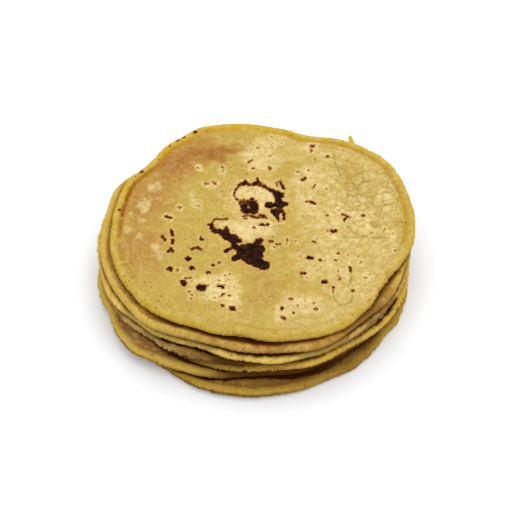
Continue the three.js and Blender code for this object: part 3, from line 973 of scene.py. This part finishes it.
# Mostly each tortilla's own tones, but levels 3 and 5 are painted lighter to stand in for light reaching their
# rims at the front; the browner, less yellow swells of level 5 at the left take that back there.
doughLooks = {  # by level, from the bottom up
    1: {"dough": (180, 135, 56), "tan": (157, 110, 46), "rim": (200, 162, 58), "pale": (206, 172, 96)},
    2: {"dough": (212, 162, 80), "tan": (200, 145, 78), "rim": (212, 177, 72), "pale": (216, 186, 112)},
    3: {"dough": (220, 170, 66), "tan": (192, 136, 44), "rim": (236, 198, 80), "pale": (230, 198, 108)},
    4: {"dough": (194, 154, 72), "tan": (166, 124, 52), "rim": (210, 172, 94), "pale": (214, 180, 116)},
    5: {"dough": (230, 196, 94), "tan": (204, 149, 70), "rim": (242, 210, 104), "pale": (240, 213, 124)},
    6: {"dough": (198, 152, 68), "tan": (174, 126, 60), "rim": (216, 182, 82), "pale": (220, 188, 108)},
    7: {"dough": (203, 173, 84), "tan": (178, 112, 56), "rim": (213, 177, 60), "pale": (239, 215, 151)},
}
# groove is the groove's own ochre, darkened with painted shade. crease is painted warm shade in crevices, below
# lips and in the top groove; shade is painted shade on a face lying between its neighbours, and on the top
# tortilla the brown of its smear; gap is the painted shadow in the gap under a tortilla.
doughMarks = {"groove": (194, 146, 28), "crack": (158, 132, 66), "creaseShade": (132, 62, 2), "shade": (92, 58, 12),
              "gap": (68, 28, 0), "speck": (96, 62, 26)}
charTones = {  # how far from the edge of a burn, in millimetres, with its colour and strength
    "black": (-0.35, (26, 6, 0), 1.0),
    "umber": (-0.05, (62, 24, 0), 1.0),
    "rust": (0.18, (130, 70, 4), 0.95),
    "amber": (0.38, (178, 114, 40), 0.85),
    "orange": (0.60, (212, 158, 82), 0.6),
    "none": (0.95, (222, 180, 104), 0.0),
}
charSpan = (-1.0, 2.0)
charMottle = (108, 68, 48)
breakUp = {  # how noise breaks up a tone: from and to, and its strength at each
    "border": (0.1, 0.9),
    "pale": (0.36, 0.58, 0.55, 1.0),
    "groove": (0.3, 0.6, 0.6, 1.0),
    "grain": (0.7, 1.3, 0.85, 1.15),
    "halo": (0.3, 0.55, 0.3, 0.8),
    "mottle": (0.45, 0.75, 0.0, 0.6),
    "mottlePatch": (0.4, 0.6, 0.3, 1.0),
    "mottleInside": (-0.4, -0.1, 1.0, 0.0),  # millimetres from the edge of a burn
    "specks": (0.4, 0.6, 0.3, 0.85),
    "dryness": (0.3, 0.7, 0.75, 0.92),
}
grain = {
    "sizes": (14.0, 4.0, 2.4, 1.4, 0.5),  # of the noise, from broad to grit, in millimetres
    "stir": {"tan": 0.9, "border": 1.0, "pale": 1.3, "burnFine": 1.4, "burnGrit": 1.3, "mottle": 2.4},
    "share": {"tan": 0.9, "border": 0.95, "crack": 0.65},
    "specks": (1.6, 0.65, 0.28),  # millimetres apart, share that shows, and the widest as a share of a cell
    "sheen": 0.03,
    "bump": (0.4, 0.25),  # strength, and height in millimetres
}


class Finish:
    # a node tree with short ways to add and join nodes
    def __init__(self, name):
        self.material = bpy.data.materials.new(name)
        self.material.use_nodes = True
        self.tree = self.material.node_tree
        self.shader = self.tree.nodes["Principled BSDF"]
        self.place = self.tree.nodes.new("ShaderNodeTexCoord").outputs["Object"]

    def fill(self, node, inputs):
        # a socket gets a link or a plain value
        for name, source in inputs.items():
            if isinstance(source, bpy.types.NodeSocket):
                self.tree.links.new(source, node.inputs[name])
            else:
                node.inputs[name].default_value = source

    def add(self, kind, inputs, **settings):
        node = self.tree.nodes.new("ShaderNode" + kind)
        for name, value in settings.items():
            setattr(node, name, value)
        self.fill(node, inputs)
        return node

    def field(self, name):
        return self.add("Attribute", {}, attribute_name=name).outputs["Fac"]

    def noise(self, sizeMm):
        inputs = {"Scale": 1 / (sizeMm * mm), "Detail": 3.0, "Roughness": 0.55, "Vector": self.place}
        return self.add("TexNoise", inputs).outputs["Fac"]

    def math(self, kind, first, second, clamp=False):
        return self.add("Math", {0: first, 1: second}, operation=kind, use_clamp=clamp).outputs[0]

    def times(self, first, second):
        return self.math("MULTIPLY", first, second)

    def ease(self, value, low, high, start=0.0, end=1.0):
        inputs = {"Value": value, "From Min": low, "From Max": high, "To Min": start, "To Max": end}
        return self.add("MapRange", inputs, interpolation_type="SMOOTHSTEP").outputs["Result"]

    def stir(self, value, noise, amount, clamp=True):
        # a value with noise worked into it, up and down by about an amount
        return self.math("ADD", value, self.times(self.math("SUBTRACT", noise, 0.5), amount), clamp)

    def blend(self, share, under, over):
        return self.add("Mix", {0: share, 6: under, 7: over}, data_type="RGBA").outputs[2]

    def ramp(self, value, stops):
        node = self.add("ValToRGB", {"Fac": value})
        while len(node.color_ramp.elements) < len(stops):
            node.color_ramp.elements.new(0.5)
        for element, (place, colour, strength) in zip(node.color_ramp.elements, stops):
            element.position = place
            element.color = dough(*colour)[:3] + (strength,)
        return node.outputs["Color"], node.outputs["Alpha"]

    def specks(self, sizeMm, share, radius):
        cells = self.add("TexVoronoi", {"Scale": 1 / (sizeMm * mm), "Vector": self.place})
        chosen = self.add("SeparateColor", {0: cells.outputs["Color"]}).outputs
        inside = self.math("LESS_THAN", cells.outputs["Distance"], self.times(chosen[1], radius))
        return self.times(self.math("LESS_THAN", chosen[0], share), inside)


def doughFinish(name, looks):
    finish = Finish(name)
    broad, middling, patchy, fine, grit = (finish.noise(size) for size in grain["sizes"])
    stir, share = grain["stir"], grain["share"]
    tones = {part: dough(*colour) for part, colour in {**doughMarks, **looks}.items()}

    # dough, browner where it lay on the griddle, with a yellow border, and paler where it puffed up
    tan = finish.times(finish.stir(finish.field("tan"), broad, stir["tan"]), share["tan"])
    colour = finish.blend(tan, tones["dough"], tones["tan"])
    border = finish.ease(finish.stir(finish.field("yellow"), middling, stir["border"]), *breakUp["border"])
    colour = finish.blend(finish.times(border, share["border"]), colour, tones["rim"])
    pale = finish.stir(finish.field("pale"), middling, stir["pale"])
    pale = finish.times(pale, finish.ease(patchy, *breakUp["pale"]))
    colour = finish.blend(pale, colour, tones["pale"])

    # the groove, its dark partly painted shade, and the cracks, then the mealy grain of the dough
    groove = finish.times(finish.field("groove"), finish.ease(fine, *breakUp["groove"]))
    colour = finish.blend(groove, colour, tones["groove"])
    colour = finish.blend(finish.times(finish.field("crack"), share["crack"]), colour, tones["crack"])
    mealy = finish.math("ADD", fine, grit)
    shading = {0: colour, "Scale": finish.ease(mealy, *breakUp["grain"])}
    colour = finish.add("VectorMath", shading, operation="SCALE").outputs[0]

    # halo, burn and specks
    ragged = finish.stir(finish.field("scorch"), fine, stir["burnFine"], clamp=False)
    ragged = finish.stir(ragged, grit, stir["burnGrit"], clamp=False)
    halo = finish.times(finish.field("halo"), finish.ease(middling, *breakUp["halo"]))
    colour = finish.blend(halo, colour, tones["pale"])
    low, span = charSpan[0], charSpan[1] - charSpan[0]
    stops = [((away - low) / span, tone, strength) for away, tone, strength in charTones.values()]
    burn, strength = finish.ramp(finish.math("DIVIDE", finish.math("SUBTRACT", ragged, low), span), stops)
    mottle = finish.ease(finish.stir(fine, grit, stir["mottle"]), *breakUp["mottle"])
    mottle = finish.times(mottle, finish.ease(middling, *breakUp["mottlePatch"]))
    mottle = finish.times(mottle, finish.ease(ragged, *breakUp["mottleInside"]))
    burn = finish.blend(mottle, burn, dough(*charMottle))
    colour = finish.blend(strength, colour, burn)
    specks = finish.times(finish.specks(*grain["specks"]), finish.ease(broad, *breakUp["specks"]))
    colour = finish.blend(specks, colour, tones["speck"])

    # painted shade in the creases and between tortillas, and the painted shadow in the gap under the tortilla
    # above
    for dark, tone in (("creaseShade", "creaseShade"), ("shade", "shade"), ("gapShadow", "gap")):
        colour = finish.blend(finish.field(dark), colour, tones[tone])

    # dry and mealy
    strength, height = grain["bump"]
    bump = finish.add("Bump", {"Strength": strength, "Distance": height * mm, "Height": mealy})
    finish.fill(finish.shader, {
        "Base Color": colour, "Roughness": finish.ease(grit, *breakUp["dryness"]),
        "Specular IOR Level": grain["sheen"], "Normal": bump.outputs["Normal"],
    })
    return finish.material


def makeStack():
    shapes = readStack()
    blank = stackBlank(len(stackRows(tortillas[1]["cut"])))
    for level in tortillas:
        onTop = level == topTortilla["level"]
        piece = makeTopTortilla(shapes) if onTop else makeStackedTortilla(blank, shapes, level)
        piece.name = piece.data.name = "corn_" + nodeName(level)
        piece.data.materials.append(doughFinish("corn_dough_%d" % level, doughLooks[level]))
        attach(piece, "root")
        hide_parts(nodeName(level))
        print(piece.name, "pressed:", len(piece.data.polygons), "faces")
    bpy.data.objects.remove(blank)


makeStack()


# Table and light

studio = {
    "floorSize": 6.0,
    "floorDrop": 0.0003,  # just under the stack
    "floorColour": (234, 236, 239),
    "floorCloud": (0.2, 0.8, 0.0, 0.3),  # as in breakUp
    "cloudSize": 40.0,  # millimetres
    "cloudTone": 0.97,
    "floorRough": 0.9,
    "floorSheen": 0.1,
    "skyStrength": 1.28,
    "keyPlace": (0.15, 0.55, 1.25),
    "keySize": 0.9,
    "keyPower": 4.0,
}


def makeFloor():
    bpy.ops.object.select_all(action="DESELECT")
    bpy.ops.mesh.primitive_plane_add(size=studio["floorSize"], location=(0, 0, -studio["floorDrop"]))
    floor = bpy.context.object
    floor.name = "table"
    bpy.ops.object.transform_apply(location=True)
    finish = Finish("table_paper")
    paper = seen(*studio["floorColour"])
    cloud = tuple(studio["cloudTone"] * part for part in paper[:3]) + (1,)
    share = finish.ease(finish.noise(studio["cloudSize"]), *studio["floorCloud"])
    finish.fill(finish.shader, {
        "Base Color": finish.blend(share, paper, cloud),
        "Roughness": studio["floorRough"], "Specular IOR Level": studio["floorSheen"],
    })
    floor.data.materials.append(finish.material)


def makeLight():
    sky = bpy.data.worlds.new("soft_sky")
    sky.use_nodes = True
    sky.node_tree.nodes["Background"].inputs["Color"].default_value = (1, 1, 1, 1)
    sky.node_tree.nodes["Background"].inputs["Strength"].default_value = studio["skyStrength"]
    bpy.context.scene.world = sky
    lamp = bpy.data.lights.new("key_panel", "AREA")
    lamp.size = studio["keySize"]
    lamp.energy = studio["keyPower"]
    panel = bpy.data.objects.new("key_panel", lamp)
    bpy.context.scene.collection.objects.link(panel)
    panel.location = studio["keyPlace"]
    panel.rotation_mode = "QUATERNION"
    panel.rotation_quaternion = (-Vector(studio["keyPlace"])).to_track_quat("-Z", "Y")
    bpy.context.scene.view_settings.view_transform = "Standard"
    bpy.context.scene.view_settings.look = "None"


makeFloor()
makeLight()
print("table and light set")
